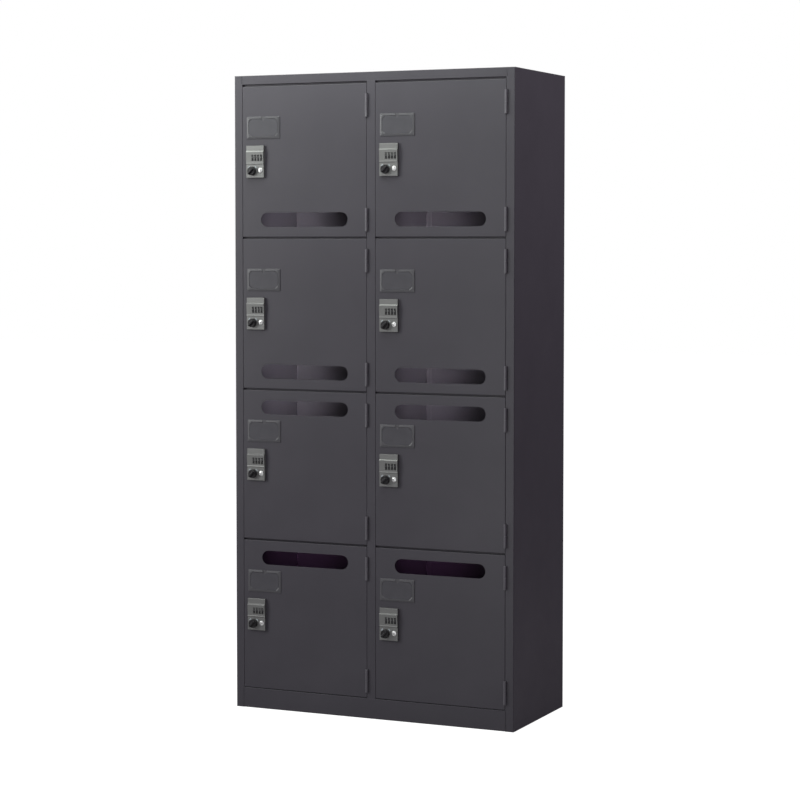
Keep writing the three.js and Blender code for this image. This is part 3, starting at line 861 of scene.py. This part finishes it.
def lock_screws():
    heads = []
    profile = [(0, 15.6 * MM), (2.2 * MM, 15.5 * MM), (3.2 * MM, 14.9 * MM), (3.4 * MM, 14.1 * MM),
               (0, 14.1 * MM)]
    for x in (6.5 * MM, LOCK_WIDTH - 6.5 * MM):
        for z in (-36 * MM, 36 * MM):
            head = turned(profile, "Y", (x, z), 20)
            for half_x, half_z in ((1.9 * MM, 0.35 * MM), (0.35 * MM, 1.9 * MM)):
                slot = box_shape((x - half_x, 15.0 * MM, z - half_z), (x + half_x, 16 * MM, z + half_z))
                head = cut(head, slot)
            heads.append(head)
    return to_mesh("lock_screws", merged(*heads), zinc)


def knob_marks():
    """Two printed arcs on the case, above the knob on its left and on its right."""
    marks = []
    for middle in (45, 135):
        shape = bmesh.new()
        outline = []
        for radius, sweep in ((14.0 * MM, (-14, 14)), (17.2 * MM, (11, -11))):
            for step in range(7):
                angle = math.radians(middle + sweep[0] + (sweep[1] - sweep[0]) * step / 6)
                outline.append((KNOB.x + radius * math.cos(angle), KNOB.z + radius * math.sin(angle)))
        rings = [front_ring(shape, outline, -7.45 * MM), front_ring(shape, outline, -7.62 * MM)]
        join_rings(shape, rings)
        for ring in rings:
            fill(shape, ring)
        marks.append(shape)
    return to_mesh("knob_marks", merged(*marks), white_ink)


def knob_mesh():
    def flutes(angle, y):
        return 1 - 0.022 * (0.5 + 0.5 * math.cos(18 * angle)) if y > -17.5 * MM else 1

    profile = [(0, -8 * MM), (KNOB_RADIUS, -8 * MM), (KNOB_RADIUS, -9.5 * MM), (12.3 * MM, -10.2 * MM),
               (11.9 * MM, -16.6 * MM), (11.5 * MM, -17.4 * MM), (10.9 * MM, -17.9 * MM),
               (10.0 * MM, -18 * MM), (0, -18 * MM)]
    skirt = turned(profile, "Y", (0, 0), 72, flutes)
    grip = rounded_box((-3 * MM, -23 * MM, -11 * MM), (3 * MM, -17.8 * MM, 11 * MM), 1.3 * MM)
    bmesh.ops.rotate(grip, verts=grip.verts, matrix=Matrix.Rotation(math.radians(45), 3, "Y"))
    return to_mesh("knob", merged(skirt, grip), black_plastic, 35)


def knob_pointer():
    """The pale line on the grip that shows which way the knob points."""
    line = rounded_box((-0.6 * MM, -23.0 * MM, 4.5 * MM), (0.6 * MM, -22.9 * MM, 9.4 * MM), 0.04 * MM, 1)
    bmesh.ops.rotate(line, verts=line.verts, matrix=Matrix.Rotation(math.radians(45), 3, "Y"))
    return to_mesh("knob_pointer", line, white_ink)


def cam_mesh():
    """The latch cam, rounded at both ends, with the spindle that turns it."""
    steps = 12
    outline = []
    for centre_z, start in ((-38 * MM, 180), (0, 0)):
        radius = 7 * MM if centre_z else 8 * MM
        for step in range(steps + 1):
            angle = math.radians(start + 180 * step / steps)
            outline.append((radius * math.cos(angle), centre_z + radius * math.sin(angle)))
    plate = bmesh.new()
    rings = [front_ring(plate, outline, y * MM) for y in (19, 21.5)]
    join_rings(plate, rings)
    for ring in rings:
        fill(plate, ring)
    rims = [edge for edge in plate.edges if edge.calc_face_angle(0) > 1]
    bmesh.ops.bevel(plate, geom=rims, offset=0.35 * MM, segments=2, profile=0.5, affect="EDGES")
    spindle = turned([(0, -8 * MM), (4 * MM, -8 * MM), (4 * MM, 18.9 * MM), (0, 18.9 * MM)], "Y", (0, 0), 24)
    return to_mesh("latch_cam", merged(plate, spindle), zinc)


def key_mesh():
    r = KEY_RADIUS
    dome_radius = 17.5 * MM
    dome = []
    for step in range(8):
        reach = 4.9 * MM * step / 7
        dome.append((reach, dome_radius - 9.8 * MM - math.sqrt(dome_radius ** 2 - reach ** 2)))
    profile = dome + [
        (5.05 * MM, -8.9 * MM), (5.25 * MM, -9.5 * MM), (r - 1.2 * MM, -9.5 * MM),
        (r - 0.6 * MM, -9.2 * MM), (r - 0.15 * MM, -8.8 * MM), (r, -8.4 * MM), (r, -7.8 * MM),
        (5.0 * MM, -7.8 * MM), (5.0 * MM, 10 * MM), (0, 10 * MM),
    ]
    body = turned(profile, "Y", (0, 0), 40)
    keyway = box_shape((-0.55 * MM, -11 * MM, -3.0 * MM), (0.55 * MM, -5.8 * MM, 3.0 * MM))
    warding = box_shape((-1.1 * MM, -11 * MM, -0.4 * MM), (0.1 * MM, -6.2 * MM, 0.9 * MM))
    return to_mesh("key_cylinder", cut(cut(body, keyway), warding), chrome, 30)


def wheel_mesh():
    """One number wheel with a finger groove between each pair of digits."""
    def grooves(angle, _):
        phase = (angle * DIGITS / (2 * math.pi)) % 1
        return 1 - 0.055 * max(0, 1 - abs(phase - 0.5) / 0.16)

    half = WHEEL_WIDTH / 2
    r = WHEEL_RADIUS
    profile = [
        (0, -half), (r - 1.4 * MM, -half), (r - 0.4 * MM, -half + 0.15 * MM),
        (r - 0.05 * MM, -half + 0.7 * MM), (r - 0.05 * MM, half - 0.7 * MM),
        (r - 0.4 * MM, half - 0.15 * MM), (r - 1.4 * MM, half), (0, half),
    ]
    return to_mesh("number_wheel", turned(profile, "X", (0, 0), 80, grooves), black_plastic, 35)


def digit_mesh():
    """The ten digits round one wheel, upright when they face the front."""
    whole = bmesh.new()
    for digit in range(DIGITS):
        text = bpy.data.curves.new("digit", "FONT")
        text.body = str(digit)
        text.size = 4.4 * MM
        text.extrude = 0.04 * MM
        text.resolution_u = 3
        text.align_x = "CENTER"
        text.align_y = "CENTER"
        holder = bpy.data.objects.new("digit", text)
        bpy.context.scene.collection.objects.link(holder)
        graph = bpy.context.evaluated_depsgraph_get()
        data = bpy.data.meshes.new_from_object(holder.evaluated_get(graph))
        turn = Matrix.Rotation(-2 * math.pi * digit / DIGITS, 4, "X")
        upright = Matrix.Rotation(math.radians(90), 4, "X")
        stand = Matrix.Translation((0, 0.02 * MM - WHEEL_RADIUS, 0)) @ upright
        data.transform(turn @ stand)
        whole.from_mesh(data)
        bpy.data.meshes.remove(data)
        bpy.data.objects.remove(holder)
        bpy.data.curves.remove(text)
    bmesh.ops.remove_doubles(whole, verts=whole.verts, dist=1e-6)
    return to_mesh("wheel_digits", whole, digit_ink)


def axle_mesh():
    profile = [(0, 16 * MM), (2 * MM, 16 * MM), (2 * MM, 52 * MM), (0, 52 * MM)]
    return to_mesh("wheel_axle", turned(profile, "X", (0, 0), 20), zinc)


# ---- assembly ------------------------------------------------------------------------------------

def combination(column, row):
    """Which digit each wheel of a lock shows, different on every door of a column."""
    start = 3 * COLUMNS.index(column) + 7 * row
    return [(start + 3 * i * i + 2 * i) % DIGITS for i in range(WHEELS)]


def build_doors():
    panels = {
        True: door_mesh("door_low_slot", SLOT_FROM_EDGE),
        False: door_mesh("door_high_slot", DOOR_HEIGHT - SLOT_FROM_EDGE),
    }
    knuckles = door_knuckles()
    holder, window = card_frame(), card_window()
    body, rear, screws, marks = lock_body(), lock_back(), lock_screws(), knob_marks()
    knob, pointer, cam, key = knob_mesh(), knob_pointer(), cam_mesh(), key_mesh()
    wheel, digits, axle = wheel_mesh(), digit_mesh(), axle_mesh()
    for column in COLUMNS:
        for row in ROWS:
            low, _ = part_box(f"{column}_door_{row}")
            corner = Vector((low.x, FRONT, low.z))
            door = f"{column}_door_{row}"
            at_door = Matrix.Translation(corner)
            put(f"{column}_door_panel_{row}", panels[row in LOW_SLOT_ROWS], door,
                at_door, door)
            put(f"{column}_door_knuckles_{row}", knuckles, door, at_door)
            card = corner + Vector((CARD_LEFT, 0, DOOR_HEIGHT / 2 + CARD_ABOVE_CENTRE - CARD_HEIGHT / 2))
            at_card = Matrix.Translation(card)
            put(f"{column}_card_frame_{row}", holder, door, at_card,
                f"{column}_card_holder_{row}")
            put(f"{column}_card_window_{row}", window, door, at_card)
            lock = corner + Vector((LOCK_LEFT, 0, DOOR_HEIGHT / 2))
            at_lock = Matrix.Translation(lock)
            put(f"{column}_lock_body_{row}", body, door, at_lock,
                f"{column}_lock_case_{row}")
            put(f"{column}_lock_back_{row}", rear, door, at_lock)
            put(f"{column}_lock_screws_{row}", screws, door, at_lock)
            put(f"{column}_knob_marks_{row}", marks, door, at_lock)
            at_knob = Matrix.Translation(lock + Vector((KNOB.x, 0, KNOB.z)))
            knob_body = f"{column}_latch_knob_{row}"
            put(f"{column}_knob_{row}", knob, knob_body, at_knob, knob_body)
            put(f"{column}_knob_pointer_{row}", pointer, knob_body, at_knob)
            put(f"{column}_latch_cam_{row}", cam, knob_body, at_knob)
            key_body = f"{column}_key_cylinder_{row}"
            at_key = Matrix.Translation(lock + Vector((KEY.x, 0, KEY.z)))
            put(f"{column}_key_{row}", key, key_body, at_key, key_body)
            dial_body = f"{column}_dial_wheels_{row}"
            put(f"{column}_wheel_axle_{row}", axle, dial_body,
                Matrix.Translation(lock + WHEEL_AXIS), dial_body)
            for i, digit in enumerate(combination(column, row)):
                turn = Matrix.Rotation(2 * math.pi * digit / DIGITS, 4, "X")
                at_wheel = Matrix.Translation(lock + WHEEL_AXIS + Vector((wheel_x(i), 0, 0))) @ turn
                put(f"{column}_wheel_{row}_{i + 1}", wheel, dial_body, at_wheel)
                put(f"{column}_digits_{row}_{i + 1}", digits, dial_body, at_wheel)


# ---- stage ---------------------------------------------------------------------------------------

def white_for_camera(nodes, links, lit, glow):
    """Mixes a lit surface with a glow that only the camera's own view takes in."""
    path = nodes.new("ShaderNodeLightPath")
    mix = nodes.new("ShaderNodeMixShader")
    links.new(path.outputs["Is Camera Ray"], mix.inputs["Fac"])
    links.new(lit, mix.inputs[1])
    links.new(glow, mix.inputs[2])
    return mix.outputs["Shader"]


def build_stage():
    bpy.ops.mesh.primitive_plane_add(size=40, location=(0, 0, -0.4 * MM))
    floor = bpy.context.object
    floor.name = "floor"
    material, nodes, links, shader = new_material("pale_floor")
    shader.inputs["Base Color"].default_value = (0.4, 0.4, 0.4, 1)
    shader.inputs["Roughness"].default_value = 0.9
    glow = nodes.new("ShaderNodeEmission")
    glow.inputs["Strength"].default_value = 0.95
    both = nodes.new("ShaderNodeAddShader")
    links.new(glow.outputs["Emission"], both.inputs[0])
    links.new(shader.outputs["BSDF"], both.inputs[1])
    surface = white_for_camera(nodes, links, shader.outputs["BSDF"], both.outputs["Shader"])
    links.new(surface, nodes["Material Output"].inputs["Surface"])
    floor.data.materials.append(material)

    world = bpy.data.worlds.new("studio")
    world.use_nodes = True
    nodes, links = world.node_tree.nodes, world.node_tree.links
    dim = nodes["Background"]
    dim.inputs["Color"].default_value = (1.0, 0.86, 1.05, 1)
    dim.inputs["Strength"].default_value = AMBIENT
    white = nodes.new("ShaderNodeBackground")
    white.inputs["Color"].default_value = (1, 1, 1, 1)
    surface = white_for_camera(nodes, links, dim.outputs["Background"], white.outputs["Background"])
    links.new(surface, nodes["World Output"].inputs["Surface"])
    bpy.context.scene.world = world
    bpy.context.scene.view_settings.view_transform = "Standard"


def soft_light(name, position, target, size, power, colour):
    light = bpy.data.lights.new(name, "AREA")
    light.shape = "RECTANGLE"
    light.size, light.size_y = size
    light.energy = power
    light.color = colour
    lamp = bpy.data.objects.new(name, light)
    lamp.location = position
    lamp.visible_camera = False
    lamp.rotation_euler = (Vector(target) - Vector(position)).to_track_quat("-Z", "Y").to_euler()
    bpy.context.scene.collection.objects.link(lamp)


def build_lights():
    soft_light("overhead", (-0.1, -0.58, 2.17), (0.05, -0.2, 1.4), (1.6, 0.35), 9.2, (0.93, 1.0, 0.93))
    soft_light("key", (-3.6, -3.0, 2.6), (0, -0.2, 1.0), (2.0, 2.0), 73, (0.97, 1.0, 0.97))
    soft_light("front_strip", (0.0, -1.5, 0.96), (0.43, -0.2, 0.96), (0.35, 1.8), 3.1, (0.97, 1.0, 0.98))
    soft_light("left_fill", (-1.6, -1.2, 1.3), (-0.42, -0.19, 0.95), (0.9, 1.6), 8.0, (0.97, 1.0, 0.97))
    soft_light("right_fill", (2.4, 0.5, 3.0), (0.4, 0, 1.4), (1.2, 1.2), 26, (1.0, 0.97, 1.0))
    for row in ROWS[:-1]:
        slot_glow("left", row, -0.045, 0.135, (1.0, 0.96, 1.0))
        slot_glow("right", row, -0.012, 0.115, (1.0, 0.94, 1.0))
    for column in COLUMNS:
        slot_glow(column, ROWS[-1], 0.0, 0.034, (1.0, 0.5, 1.0))


def slot_glow(column, row, offset, power, colour):
    """Stands in for the wide studio light that reaches in through a slot."""
    low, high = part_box(f"{column}_door_{row}")
    edge = SLOT_FROM_EDGE if row in LOW_SLOT_ROWS else DOOR_HEIGHT - SLOT_FROM_EDGE
    start = Vector(((low.x + high.x) / 2 + offset, FRONT + 0.03, low.z + edge + 0.005))
    target = start + Vector((-0.19, 0.32, 0))
    soft_light(f"{column}_slot_glow_{row}", start, target, (0.12, 0.02), power, colour)
    bpy.data.lights[f"{column}_slot_glow_{row}"].spread = math.radians(50)


def build_camera():
    yaw, pitch = math.radians(24.566), math.radians(-2.969)
    camera = bpy.data.cameras.new("camera")
    camera.sensor_width = 36
    camera.lens = 102.64
    camera.shift_y = -0.05
    camera.clip_end = 100
    thing = bpy.data.objects.new("camera", camera)
    thing.location = (2.6835, -5.8574, 1.3247)
    thing.rotation_euler = (math.radians(90) + pitch, 0, yaw)
    bpy.context.scene.collection.objects.link(thing)
    bpy.context.scene.camera = thing


build_camera()
build_stage()
build_lights()
side_panels()
centre_partition()
top_and_base()
back_sheet()
shelves()
fixed_knuckles()
build_doors()
